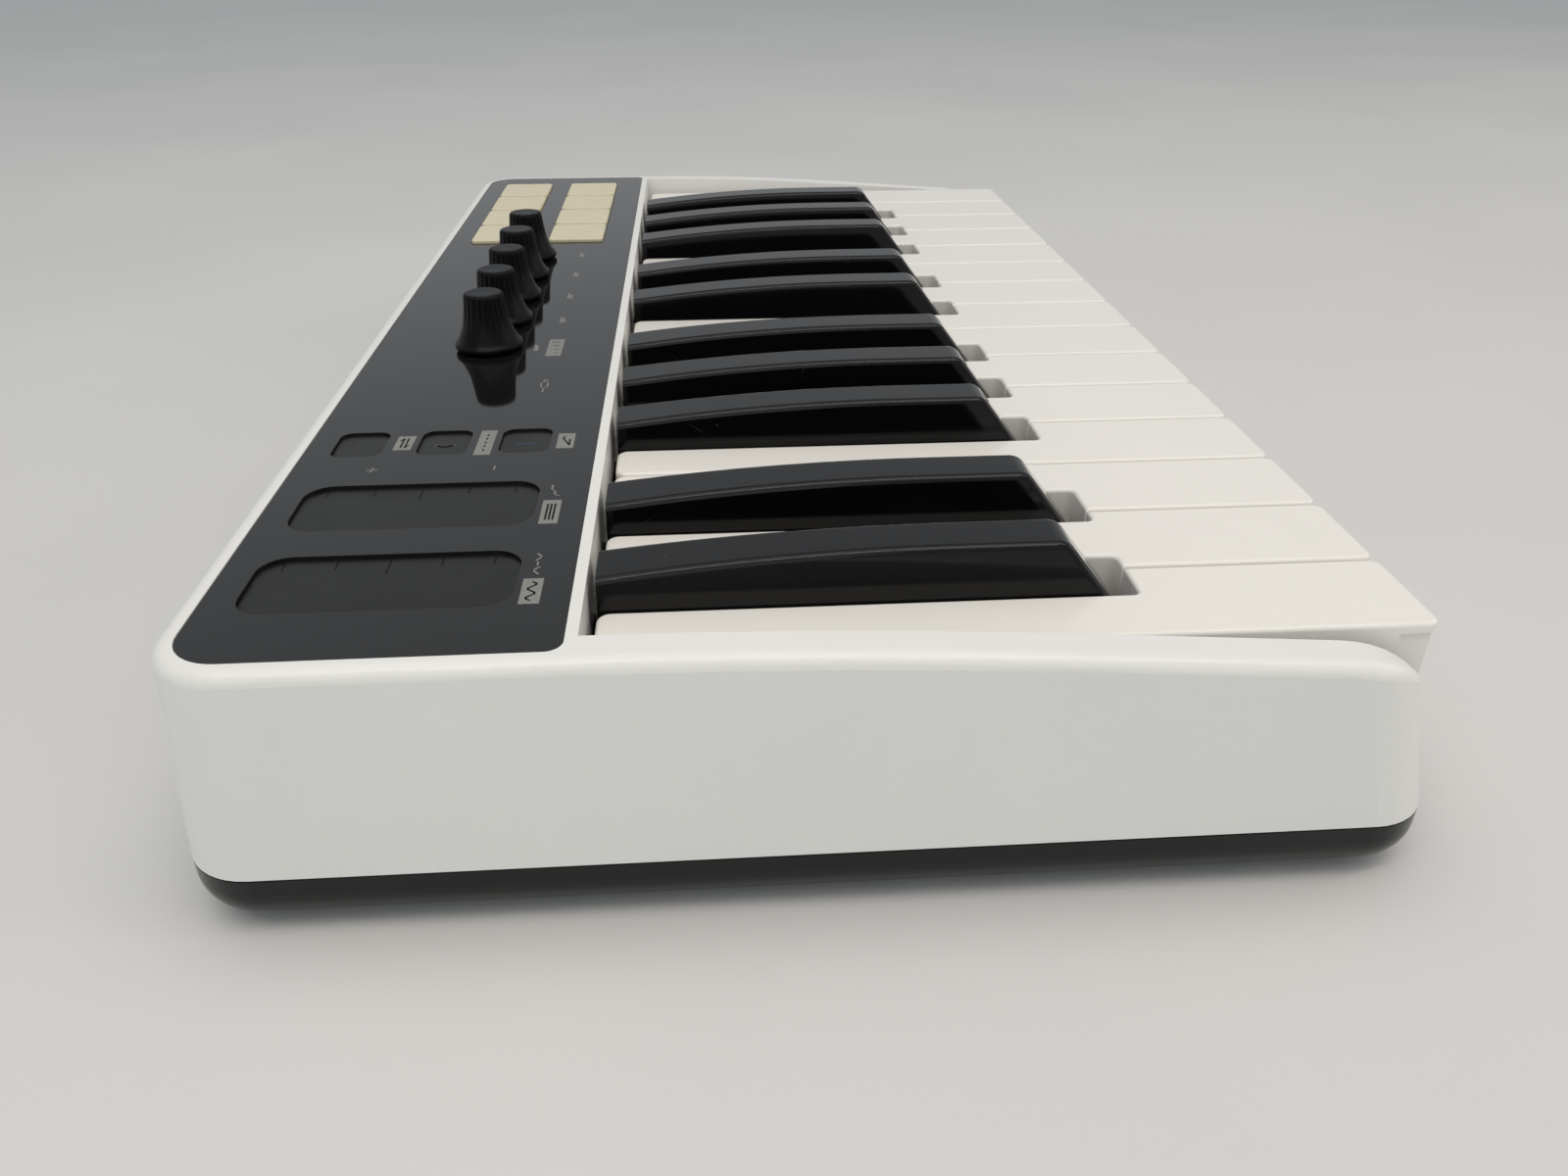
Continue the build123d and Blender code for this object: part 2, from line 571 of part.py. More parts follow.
def control_board():
    """Circuit board under the deck, with a force sensor under each pad."""
    board = box(-174, 174, 46, 103, BOARD_LOW, BOARD_TOP)
    for x in PAD_X:
        for y in PAD_Y:
            board += disc(x, y, BOARD_TOP, BOARD_TOP + 1.2, 6)
    for x, y in REAR_SCREWS:
        board -= disc(x, y, BOARD_LOW - 1, BOARD_TOP + 1, BOSS_R + 0.4)
    return board


def main_board():
    board = box(-150, 150, MAIN_FRONT, MAIN_BACK, MAIN_LOW, MAIN_TOP)
    for x, w, d, h in ((-30, 12, 12, 1.6), (-5, 9, 9, 1.2), (80, 7, 7, 1.2), (-140, 6, 10, 5)):
        board += box(x - w / 2, x + w / 2, 83, 83 + d, MAIN_TOP, MAIN_TOP + h)
    return board


def line_jacks():
    """Four 6.35 mm sockets: left, right, headphones and pedal."""
    sockets = []
    for x in JACK_X:
        half = JACK_BODY / 2
        body = box(x - half, x + half, 86, 107.2, MAIN_TOP + 0.05, JACK_Z + 6.5)
        body += along_y(x, JACK_Z, 107.2, 109.9, 4.75)
        body -= along_y(x, JACK_Z, 90, 111, JACK_R)
        sockets.append(body)
    return Compound(children=sockets)


def combo_input_jack():
    body = box(COMBO_X - 13, COMBO_X + 13, 83, 106.2, MAIN_TOP + 0.05, COMBO_Z + 13)
    body += along_y(COMBO_X, COMBO_Z, 106.2, 109.2, COMBO_R)
    ring = along_y(COMBO_X, COMBO_Z, 98, 111, 9.6) - along_y(COMBO_X, COMBO_Z, 90, 112, 7.9)
    body -= ring
    body -= along_y(COMBO_X, COMBO_Z, 88, 111, JACK_R)
    for degrees in (90, 210, 330):
        turn = math.radians(degrees)
        x = COMBO_X + 5.7 * math.cos(turn)
        z = COMBO_Z + 5.7 * math.sin(turn)
        body -= along_y(x, z, 96, 111, 1.3)
    return body


def usb_port():
    body = box(USB_X - 6, USB_X + 6, 92, 109.6, MAIN_TOP + 0.05, USB_Z + 5.5)
    body -= box(USB_X - 4.4, USB_X + 4.4, 98, 111, USB_Z - 3.9, USB_Z + 4.1)
    body += box(USB_X - 2.8, USB_X + 2.8, 97.9, 105, USB_Z - 1.5, USB_Z + 1.5)
    return body


def dc_inlet():
    body = box(DC_X - 4.5, DC_X + 4.5, 95, 107.4, MAIN_TOP + 0.05, DC_Z + 5)
    body += along_y(DC_X, DC_Z, 107.4, 109.8, 4.2)
    body -= along_y(DC_X, DC_Z, 98, 111, DC_R)
    body += along_y(DC_X, DC_Z, 97.9, 108, 1.0)
    return body


def battery_door():
    half_x, half_y = DOOR[0] / 2, DOOR[1] / 2
    hinge_r = DOOR_THICK / 2
    y0, y1 = BAY_Y - half_y, BAY_Y + half_y
    plate = box(-half_x, half_x, y0 + hinge_r, y1, FOOT, FOOT + DOOR_THICK)
    plate += Pos(0, y0 + hinge_r, FOOT + hinge_r) * Rot(0, 90, 0) * Cylinder(hinge_r, DOOR[0])
    for x in (-6, -3, 0, 3, 6):
        plate -= box(x - 0.6, x + 0.6, y1 - 9, y1 - 3, 0, FOOT + 0.5)
    return plate


def battery_contacts():
    plates = []
    for side in (-1, 1):
        for y in (BAY_Y - 7.7, BAY_Y + 7.7):
            x = side * (BAY[0] / 2 - 0.5)
            leaf = box(min(x, x + side * 0.4), max(x, x + side * 0.4), y - 5, y + 5, 6, 16)
            plates.append(leaf)
    return Compound(children=plates)


def rubber_feet():
    feet = []
    for x, y in FEET:
        foot = disc(x, y, 0, FOOT + 0.55, 6)
        feet.append(fillet(foot.faces().sort_by(Axis.Z)[0].edges(), 0.5))
    return Compound(children=feet)


def case_screws():
    screws = []
    for x, y, lift in SCREWS:
        head = disc(x, y, HEAD_LOW, HEAD_TOP, HEAD_R)
        head -= box(x - 0.4, x + 0.4, y - 2, y + 2, 0, HEAD_LOW + 1)
        head -= box(x - 2, x + 2, y - 0.4, y + 0.4, 0, HEAD_LOW + 1)
        screws.append(Pos(0, 0, lift) * (head + disc(x, y, HEAD_TOP, SCREW_TIP, SCREW_R)))
    return Compound(children=screws)


def pieces():
    found = {
        "top_shell": top_shell(),
        "bottom_shell": bottom_shell(),
        "fascia_panel": fascia_panel(),
        "touch_strips": touch_strips(),
        "touch_buttons": touch_buttons(),
        "encoders": encoders(),
        "control_board": control_board(),
        "key_bed": key_bed(),
        "key_pivot_rod": pivot_rod(),
        "key_return_springs": return_springs(),
        "key_stop_felts": stop_felts(),
        "key_contact_board": contact_board(),
        "rubber_dome_strips": dome_strips(),
        "main_board": main_board(),
        "line_jacks": line_jacks(),
        "combo_input_jack": combo_input_jack(),
        "usb_port": usb_port(),
        "dc_inlet": dc_inlet(),
        "battery_door": battery_door(),
        "battery_contacts": battery_contacts(),
        "rubber_feet": rubber_feet(),
        "case_screws": case_screws(),
    }
    for number in range(len(KNOB_X)):
        found[f"knob_{number + 1}"] = knob(number)
    spots = [(x, y) for y in PAD_Y for x in PAD_X]
    for number, (x, y) in enumerate(spots):
        found[f"drum_pad_{number + 1}"] = drum_pad(x, y)
    whites, blacks = 0, 0
    for number, (is_black, _, _, _) in enumerate(SPANS):
        if is_black:
            blacks += 1
            found[f"black_key_{blacks:02d}"] = black_key(number)
        else:
            whites += 1
            found[f"white_key_{whites:02d}"] = white_key(number)
    return found


os.makedirs("parts", exist_ok=True)
for name, shape in pieces().items():
    export_step(shape, f"parts/{name}.step")
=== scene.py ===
import json
import math

import bpy
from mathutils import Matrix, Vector


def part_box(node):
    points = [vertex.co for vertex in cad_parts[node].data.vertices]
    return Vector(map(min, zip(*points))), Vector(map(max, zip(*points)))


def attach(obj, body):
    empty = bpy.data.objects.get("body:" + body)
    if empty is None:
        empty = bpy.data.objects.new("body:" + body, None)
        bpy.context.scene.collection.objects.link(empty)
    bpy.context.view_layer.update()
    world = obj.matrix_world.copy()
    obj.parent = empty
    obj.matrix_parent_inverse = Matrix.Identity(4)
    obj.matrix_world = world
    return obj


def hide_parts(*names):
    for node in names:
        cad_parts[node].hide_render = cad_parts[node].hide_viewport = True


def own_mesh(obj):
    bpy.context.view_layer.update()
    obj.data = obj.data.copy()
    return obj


MM = 0.001
CASE = "case"
NOISE_LOW = 0.3
NOISE_HIGH = 0.7
SECOND_DRAW = 17.3
BEVEL_SAMPLES = 4
PLASTIC_IOR = 1.5
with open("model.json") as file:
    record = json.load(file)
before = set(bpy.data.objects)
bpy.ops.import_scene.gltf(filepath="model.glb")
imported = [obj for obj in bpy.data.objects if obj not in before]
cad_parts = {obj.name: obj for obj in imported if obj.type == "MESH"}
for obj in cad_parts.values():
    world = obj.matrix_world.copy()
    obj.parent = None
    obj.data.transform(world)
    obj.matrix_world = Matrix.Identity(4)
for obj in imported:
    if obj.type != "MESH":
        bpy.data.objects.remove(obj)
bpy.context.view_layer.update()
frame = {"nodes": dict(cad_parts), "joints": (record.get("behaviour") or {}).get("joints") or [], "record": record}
nodes = frame["nodes"]


# ------------------------------------------------------------------ material helpers
class Look:
    """A node material. Plain values go on the shader's own sockets."""

    def __init__(self, name, **values):
        self.mat = bpy.data.materials.new(name)
        self.mat.use_nodes = True
        self.tree = self.mat.node_tree
        self.shader = self.tree.nodes["Principled BSDF"]
        self.shader.inputs["IOR"].default_value = PLASTIC_IOR
        for key, value in values.items():
            self.set(key, value)
        coordinates = self.add("ShaderNodeTexCoord").outputs
        self.place = coordinates["Object"]
        self.facing = coordinates["Normal"]

    def add(self, kind, inputs=(), **props):
        node = self.tree.nodes.new(kind)
        for key, value in props.items():
            setattr(node, key, value)
        for key, value in dict(inputs).items():
            self.join(node.inputs[key], value)
        return node

    def join(self, socket, value):
        if isinstance(value, bpy.types.NodeSocket):
            self.tree.links.new(value, socket)
        elif isinstance(value, tuple) and len(value) == 3 and socket.type == "RGBA":
            socket.default_value = (*value, 1)
        else:
            socket.default_value = value

    def set(self, name, value):
        self.join(self.shader.inputs[name.replace("_", " ")], value)

    def noise(self, size_mm, detail, stretch=(1, 1, 1), turn=(0, 0, 0)):
        """Noise from 0 to 1 with features of about this size."""
        place = self.add("ShaderNodeMapping", {0: self.place, "Rotation": turn, "Scale": stretch})
        inputs = {0: place.outputs[0], "Scale": 1 / (size_mm * MM), "Detail": detail}
        return self.add("ShaderNodeTexNoise", inputs).outputs[0]

    def span(self, value, low, high, to_low=0.0, to_high=1.0):
        """The value from low to high, stretched between two others and held there."""
        inputs = {0: value, 1: low, 2: high, 3: to_low, 4: to_high}
        return self.add("ShaderNodeMapRange", inputs, clamp=True).outputs[0]

    def spread(self, noise, to_low=0.0, to_high=1.0):
        """The middle of a noise's range, stretched between these values."""
        return self.span(noise, NOISE_LOW, NOISE_HIGH, to_low, to_high)

    def math(self, kind, a, b=0.0):
        return self.add("ShaderNodeMath", {0: a, 1: b}, operation=kind).outputs[0]

    def vector(self, kind, a, b=(0.0, 0.0, 0.0), out="Vector"):
        inputs = {0: a, 1: b}
        return self.add("ShaderNodeVectorMath", inputs, operation=kind).outputs[out]

    def mix(self, share, a, b):
        inputs = {0: share, 6: a, 7: b}
        return self.add("ShaderNodeMix", inputs, data_type="RGBA").outputs[2]

    def edge(self, radius_mm, low=0.02, high=0.25):
        """1 on the sharp edges of the piece, 0 elsewhere."""
        soft = self.add("ShaderNodeBevel", {"Radius": radius_mm * MM}, samples=BEVEL_SAMPLES).outputs[0]
        plain = self.add("ShaderNodeNewGeometry").outputs["Normal"]
        bend = self.vector("DOT_PRODUCT", soft, plain, "Value")
        return self.span(bend, 1 - low, 1 - high)

    def scratches(self, spacing_mm, width_mm, length_mm, share):
        """Sparse straight hair scratches, each lying its own way, about one in a cell."""
        inputs = {0: self.place, "Scale": 1 / (spacing_mm * MM)}
        cells = self.add("ShaderNodeTexVoronoi", inputs).outputs
        way = self.vector("SUBTRACT", cells["Color"], (0.5, 0.5, 0.5))
        way = self.vector("NORMALIZE", self.vector("CROSS_PRODUCT", self.facing, way))
        offset = self.vector("SUBTRACT", self.place, cells["Position"])
        across = self.math("ABSOLUTE", self.vector("DOT_PRODUCT", offset, way, "Value"))
        line = self.span(across, 0.3 * width_mm * MM, width_mm * MM, 1.0, 0.0)
        reach = self.vector("LENGTH", offset, out="Value")
        ends = self.span(reach, 0.2 * length_mm * MM, 0.5 * length_mm * MM, 1.0, 0.0)
        lot = self.math("FRACT", self.math("MULTIPLY", cells["Color"], SECOND_DRAW))
        keep = self.math("LESS_THAN", lot, share)
        return self.math("MULTIPLY", self.math("MULTIPLY", line, ends), keep)

    def specks(self, spacing_mm, share, radius):
        """Small dots of dust, in this share of the cells."""
        inputs = {0: self.place, "Scale": 1 / (spacing_mm * MM)}
        cells = self.add("ShaderNodeTexVoronoi", inputs).outputs
        dot = self.span(cells["Distance"], radius * 0.5, radius, 1.0, 0.0)
        keep = self.math("LESS_THAN", cells["Color"], share)
        return self.math("MULTIPLY", dot, keep)

    def bump(self, *layers):
        """Layers of (height, depth in millimetres), each on top of the last."""
        normal = None
        for height, depth in layers:
            inputs = {"Height": height, "Distance": depth * MM, "Strength": 1.0}
            if normal is not None:
                inputs["Normal"] = normal
            normal = self.add("ShaderNodeBump", inputs).outputs[0]
        self.set("Normal", normal)
        return self


def tone(colour, factor):
    """The colour made lighter or darker."""
    return tuple(min(1.0, c * factor) for c in colour)


# ------------------------------------------------------------------ materials
def moulded_white(name, colour, rough, texture, wear):
    """White plastic with faint mottling, fine moulded texture, hair scratches, scuffed patches and a painted
    highlight on its sharp edges.
    """
    look = Look(name, Coat_Weight=0.12, Coat_Roughness=0.1)
    cloud = look.spread(look.noise(38, 3))
    fine = look.noise(0.45, 2)
    lines = look.scratches(9, 0.035, 8, wear)
    scuff = look.span(look.noise(6.5, 5, (1, 1, 0.5)), 0.62, 0.9)
    motes = look.specks(8.5, 0.22, 0.02)
    edge = look.edge(0.35)
    now = look.mix(cloud, tone(colour, 0.98), colour)
    now = look.mix(look.math("MULTIPLY", scuff, 0.3 * wear), now, tone(colour, 0.85))
    now = look.mix(look.math("MULTIPLY", lines, 0.28), now, tone(colour, 0.55))
    now = look.mix(look.math("MULTIPLY", motes, 0.6), now, (0.16, 0.14, 0.12))
    # The sharp edges are mixed towards a lighter colour: a painted highlight.
    look.set("Base_Color", look.mix(look.math("MULTIPLY", edge, 0.3), now, tone(colour, 1.05)))
    rub = look.spread(look.noise(17, 2), rough, rough + 0.04)
    look.set("Roughness", look.math("ADD", rub, look.math("MULTIPLY", lines, 0.1)))
    return look.bump((fine, texture), (lines, -0.004))


def gloss_black(name, colour, rough, dust, wear, edge_size=0.25, sheen=0.5):
    """Gloss black with smears, hair scratches, dust and paler rubbed edges."""
    look = Look(name, Specular_IOR_Level=sheen)
    smear = look.span(look.noise(16, 5, (1, 0.6, 1), (0, 0, 0.5)), 0.35, 0.75)
    lines = look.scratches(8, 0.03, 6, wear)
    motes = look.specks(5.2, dust, 0.02)
    edge = look.edge(edge_size)
    now = look.mix(look.math("MULTIPLY", smear, 0.3), colour, tone(colour, 1.6))
    now = look.mix(look.math("MULTIPLY", lines, 0.3), now, (0.15, 0.15, 0.15))
    now = look.mix(look.math("MULTIPLY", edge, 0.15), now, (0.15, 0.15, 0.15))
    look.set("Base_Color", look.mix(look.math("MULTIPLY", motes, 0.7), now, (0.35, 0.34, 0.32)))
    base = look.math("ADD", look.math("MULTIPLY", smear, 0.05), rough)
    worn = look.math("MULTIPLY", look.math("MAXIMUM", lines, motes), 0.25)
    look.set("Roughness", look.math("ADD", base, worn))
    return look.bump((look.noise(7, 1), 0.003), (lines, -0.004), (motes, 0.015))


def satin_black(name, colour, rough, grain_mm, grain_depth, edge_size=0.3, wear=0.1, sheen=0.5):
    """Satin black plastic or rubber with an even moulded grain and paler worn edges."""
    look = Look(name, Specular_IOR_Level=sheen)
    cloud = look.span(look.noise(14, 3), 0.35, 0.7)
    grain = look.noise(grain_mm, 2)
    lines = look.scratches(7, 0.04, 6, wear)
    edge = look.math("MULTIPLY", look.edge(edge_size), look.span(look.noise(2.5, 3), 0.4, 0.65))
    dust = look.math("MULTIPLY", look.specks(3.1, 0.12, 0.035), 0.5)
    now = look.mix(cloud, colour, tone(colour, 1.3))
    now = look.mix(look.math("MULTIPLY", edge, 0.4), now, tone(colour, 4.0))
    now = look.mix(look.math("MULTIPLY", lines, 0.25), now, (0.12, 0.12, 0.12))
    look.set("Base_Color", look.mix(dust, now, (0.3, 0.29, 0.28)))
    look.set("Roughness", look.spread(look.noise(9, 2), rough - 0.02, rough + 0.04))
    return look.bump((grain, grain_depth), (lines, -0.01))


def pad_cream():
    """Soft milky silicone with a dull handled bloom, with painted shade in a darker, yellower cream towards its
    edges.
    """
    cream = (0.68, 0.625, 0.46)
    look = Look("pad_cream", Subsurface_Weight=0.2, Subsurface_Scale=0.002)
    look.set("Subsurface_Radius", (1.0, 0.75, 0.4))
    edge = look.edge(1.6, 0.01, 0.4)
    cloud = look.span(look.noise(5, 4), 0.35, 0.7)
    now = look.mix(cloud, tone(cream, 0.95), cream)
    # The edges are mixed towards a darker, yellower cream: painted shade.
    look.set("Base_Color", look.mix(look.math("MULTIPLY", edge, 0.7), now, (0.62, 0.53, 0.30)))
    look.set("Roughness", look.spread(look.noise(3, 3), 0.42, 0.56))
    return look.bump((look.noise(0.3, 2), 0.008))


def brushed(name, colour, rough, along=(0.04, 1, 1)):
    """Plated sheet or turned metal with a fine grain and small stains."""
    look = Look(name, Metallic=1.0)
    grain = look.noise(0.3, 2, along)
    stain = look.span(look.noise(9, 4), 0.45, 0.75)
    look.set("Base_Color", look.mix(look.math("MULTIPLY", stain, 0.35), colour, tone(colour, 0.6)))
    look.set("Roughness", look.spread(grain, rough - 0.06, rough + 0.1))
    return look.bump((grain, 0.01))


def board_green():
    """Solder mask over copper tracks, with tinned pads."""
    look = Look("board_green", Coat_Weight=0.4, Coat_Roughness=0.15)
    inputs = {0: look.place, "Scale": 1 / (5.5 * MM), "Mortar Size": 0.035, "Row Height": 0.35}
    tracks = look.add("ShaderNodeTexBrick", inputs).outputs["Fac"]
    mask = look.mix(tracks, (0.012, 0.085, 0.035), (0.03, 0.17, 0.06))
    dots = look.specks(2.6, 0.45, 0.22)
    look.set("Base_Color", look.mix(dots, mask, (0.55, 0.55, 0.52)))
    look.set("Roughness", look.spread(look.noise(2, 3), 0.3, 0.42))
    return look.bump((tracks, 0.03), (dots, 0.05))


def felt_red():
    """Pressed felt with short brushed fibres."""
    look = Look("felt_red", Sheen_Weight=0.6, Sheen_Roughness=0.4)
    fibre = look.noise(0.22, 5, (1, 0.25, 1), (0, 0, 0.6))
    shade = look.spread(fibre)
    look.set("Base_Color", look.mix(shade, (0.16, 0.015, 0.012), (0.34, 0.05, 0.04)))
    look.set("Roughness", look.spread(fibre, 0.85, 0.98))
    return look.bump((fibre, 0.15))


def ink(name, colour, sheen=0.5):
    """Screen-printed ink with a slightly uneven film and tiny pinholes."""
    look = Look(name, Specular_IOR_Level=sheen)
    film = look.noise(0.5, 4)
    holes = look.span(look.noise(0.18, 2), 0.62, 0.7)
    now = look.mix(look.spread(film), tone(colour, 0.85), colour)
    look.set("Base_Color", look.mix(look.math("MULTIPLY", holes, 0.5), now, (0.02, 0.02, 0.02)))
    look.set("Roughness", look.spread(film, 0.35, 0.5))
    return look.bump((film, 0.004))


looks = {
    "shell_white": moulded_white("shell_white", (0.80, 0.80, 0.775), 0.32, 0.006, 0.22),
    "key_white": moulded_white("key_white", (0.84, 0.82, 0.775), 0.24, 0.002, 0.12),
    "key_black": gloss_black("key_black", (0.002, 0.002, 0.0023), 0.06, 0.25, 0.1, 0.25, 0.3),
    "fascia_black": gloss_black("fascia_black", (0.006, 0.0062, 0.0065), 0.04, 0.5, 0.2, 0.15),
    "touch_black": satin_black("touch_black", (0.004, 0.0042, 0.004), 0.34, 0.3, 0.006, 0.2, 0.3, 0.38),
    "base_black": satin_black("base_black", (0.004, 0.0044, 0.005), 0.22, 0.5, 0.004, 0.3, 0.1, 0.35),
    "knob_black": satin_black("knob_black", (0.001, 0.001, 0.0013), 0.34, 0.25, 0.004, 0.12, 0.05, 0.14),
    "pad_cream": pad_cream(),
    "steel": brushed("steel", (0.55, 0.56, 0.57), 0.32),
    "contact_nickel": brushed("contact_nickel", (0.72, 0.69, 0.62), 0.22, (1, 1, 0.05)),
    "felt_red": felt_red(),
    "board_green": board_green(),
    "dome_silicone": satin_black("dome_silicone", (0.12, 0.125, 0.13), 0.55, 0.3, 0.01),
    "foot_rubber": satin_black("foot_rubber", (0.02, 0.02, 0.02), 0.7, 0.4, 0.03),
    "socket_black": satin_black("socket_black", (0.012, 0.012, 0.012), 0.42, 0.3, 0.01),
}
for row in frame["record"]["subparts"]:
    mesh = nodes[row["node"]].data
    mesh.materials.clear()
    mesh.materials.append(looks[row["material_slot"]].mat)


# ------------------------------------------------------------------ printed marks
def strokes(lines, centre, size, width):
    """Flat quads along lines drawn on a unit square, at this centre and size, all in millimetres."""
    quads = []
    for line in lines:
        points = [(centre[0] + u * size[0], centre[1] + v * size[1]) for u, v in line]
        for (x0, y0), (x1, y1) in zip(points, points[1:]):
            run = math.hypot(x1 - x0, y1 - y0)
            nx, ny = -(y1 - y0) / run * width / 2, (x1 - x0) / run * width / 2
            ex, ey = (x1 - x0) / run * width / 2, (y1 - y0) / run * width / 2
            quads.append([(x0 - ex - nx, y0 - ey - ny), (x1 + ex - nx, y1 + ey - ny),
                          (x1 + ex + nx, y1 + ey + ny), (x0 - ex + nx, y0 - ey + ny)])
    return quads


def plate(x0, x1, y0, y1):
    """One rectangle between these sides."""
    return [(x0, y0), (x1, y0), (x1, y1), (x0, y1)]


def bow(count, rise, reach):
    """A shallow arc across the unit square."""
    steps = [i / count * 2 - 1 for i in range(count + 1)]
    return [(rise * (1 - t * t), reach * t) for t in steps]


def printed(name, quads, z, material):
    """Flat quads in millimetres at one height in metres, as one piece on the case."""
    points = [(x * MM, y * MM, z) for quad in quads for x, y in quad]
    faces = [tuple(range(4 * i, 4 * i + 4)) for i in range(len(quads))]
    mesh = bpy.data.meshes.new(name)
    mesh.from_pydata(points, [], faces)
    mesh.materials.append(material.mat)
    piece = bpy.data.objects.new(name, mesh)
    bpy.context.scene.collection.objects.link(piece)
    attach(piece, CASE)


WAVE_STEPS = 12
WAVE = [[(u / WAVE_STEPS - 0.5, 0.32 * math.sin(u / WAVE_STEPS * 4 * math.pi))
         for u in range(WAVE_STEPS + 1)]]
LIST = [[(-0.45, v), (0.45, v)] for v in (-0.32, 0.0, 0.32)]
SWAP = [[(-0.45, 0.2), (0.45, 0.2), (0.25, 0.42)], [(0.45, -0.2), (-0.45, -0.2), (-0.25, -0.42)]]
DOTS = [[(u - 0.03, 0.0), (u + 0.03, 0.0)] for u in (-0.42, -0.21, 0.0, 0.21, 0.42)]
PENCIL = [[(-0.4, -0.38), (0.25, 0.3), (0.4, 0.1)], [(-0.4, -0.38), (0.1, -0.38)]]
RISE = [[(u, -0.38), (u, -0.38 + 0.2 * (i + 1))] for i, u in enumerate((-0.45, -0.15, 0.15, 0.45))]
BEND = [[(-0.45, -0.2), (-0.3, 0.3), (-0.15, -0.2)], [(0.15, 0.2), (0.3, -0.3), (0.45, 0.2)],
        [(-0.06, 0.0), (0.06, 0.0)]]
STEPS = [[(-0.45, -0.4), (-0.45, 0.0), (0.0, 0.0), (0.0, 0.4), (0.45, 0.4)]]
PLUG = [[(-0.5, 0.0), (-0.15, 0.0)],
        [(-0.15, -0.35), (-0.15, 0.35), (0.3, 0.35), (0.3, -0.35), (-0.15, -0.35)],
        [(0.3, 0.15), (0.5, 0.15)], [(0.3, -0.15), (0.5, -0.15)]]
TAB = [[(-0.5, 0.25), (0.5, 0.25)], [(-0.5, -0.25), (0.2, -0.25)]]
CROSS = [[(-0.5, 0.0), (0.5, 0.0)], [(0.0, -0.5), (0.0, 0.5)]]
DASH = [[(-0.5, 0.0), (0.5, 0.0)]]
# Each chip: its sides in x and y, and the symbol on it.
CHIPS = [((-167.6, -159.0, 47.4, 50.95), WAVE), ((-138.2, -128.1, 47.2, 50.8), LIST),
         ((-101.4, -93.9, 81.9, 85.7), SWAP), ((-105.1, -91.8, 64.6, 68.1), DOTS),
         ((-102.7, -94.6, 47.25, 50.95), PENCIL), ((-42.8, -29.6, 55.5, 59.5), RISE)]
# Each plain mark: its middle, its size, and its symbol.
PLAIN = [((-153.7, 49.1), (8.2, 2.0), BEND), ((-123.6, 48.9), (5.2, 1.9), STEPS),
         ((-64.5, 57.4), (8.2, 2.2), PLUG), ((-35.9, 62.4), (4.4, 1.2), TAB),
         ((-12.4, 57.65), (4.6, 1.7), TAB), ((10.6, 57.65), (4.6, 1.7), TAB),
         ((34.0, 57.75), (4.6, 1.7), TAB), ((57.8, 57.8), (4.6, 1.7), TAB),
         ((-111.4, 87.7), (1.9, 1.9), CROSS), ((-111.9, 62.6), (1.8, 0.6), DASH)]
INK_FILM = 0.01 * MM
CHIP_FILL = (0.72, 0.62)
CHIP_LINE = 0.38
PLAIN_LINE = 0.34
TAB_LINE = 0.6
panel_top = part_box("fascia_panel")[1].z
silver = ink("ink_silver", (0.24, 0.24, 0.225))
dark_ink = ink("ink_dark", (0.004, 0.004, 0.004), 0.08)
panel_marks = []
chip_marks = []
for (x0, x1, y0, y1), icon in CHIPS:
    middle = ((x0 + x1) / 2, (y0 + y1) / 2)
    panel_marks.append(plate(x0, x1, y0, y1))
    chip_marks += strokes(icon, middle, ((x1 - x0) * CHIP_FILL[0], (y1 - y0) * CHIP_FILL[1]), CHIP_LINE)
for middle, size, icon in PLAIN:
    panel_marks += strokes(icon, middle, size, TAB_LINE if icon is TAB else PLAIN_LINE)
printed("panel_printing", panel_marks, panel_top + INK_FILM, silver)
printed("chip_printing", chip_marks, panel_top + 2 * INK_FILM, dark_ink)

touch_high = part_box("touch_strips")[1]
button_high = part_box("touch_buttons")[1]
STRIP_PITCH = 29.6
TICK_MIDDLE = 75.6
TICK_PITCH = 9.3
TICK_INSET = 1.2
TICK_LONG = 4.6
TICK_SHORT = 2.4
TICK_LINE = 0.28
ticks = []
for far_edge in (touch_high.x / MM - STRIP_PITCH, touch_high.x / MM):
    for step in (-2, -1, 0, 1, 2):
        length = TICK_SHORT if step else TICK_LONG
        middle = (far_edge - TICK_INSET - length / 2, TICK_MIDDLE + TICK_PITCH * step)
        ticks += strokes(DASH, middle, (length, 1), TICK_LINE)
printed("strip_scale_marks", ticks, touch_high.z + INK_FILM, dark_ink)
amber = ink("ink_amber", (0.10, 0.085, 0.045))
blue = ink("ink_blue", (0.02, 0.028, 0.07))
printed("button_mark_middle", strokes([bow(10, -0.22, 0.45)], (-98.0, 75.1), (4.2, 4.2), 0.55),
        button_high.z + INK_FILM, amber)
printed("button_mark_front", strokes([[(0, -0.45), (0, 0.45)]], (-98.3, 57.8), (4.2, 4.2), 0.75),
        button_high.z + INK_FILM, blue)


# ------------------------------------------------------------------ knobs
FLUTES = 20
FLUTE_DEPTH = 0.27
FLUTE_START = 5.2
FLUTE_RUN = 3.6
FLUTE_TOP_R = 4.1
FLUTE_TOP_RUN = 0.7
KNOBS = 5
KNOB_SIDES = 240
KNOB_TOP = 14.3
STEM_R = 3.0
AXIS_R = 0.05
SHARP = math.radians(50)
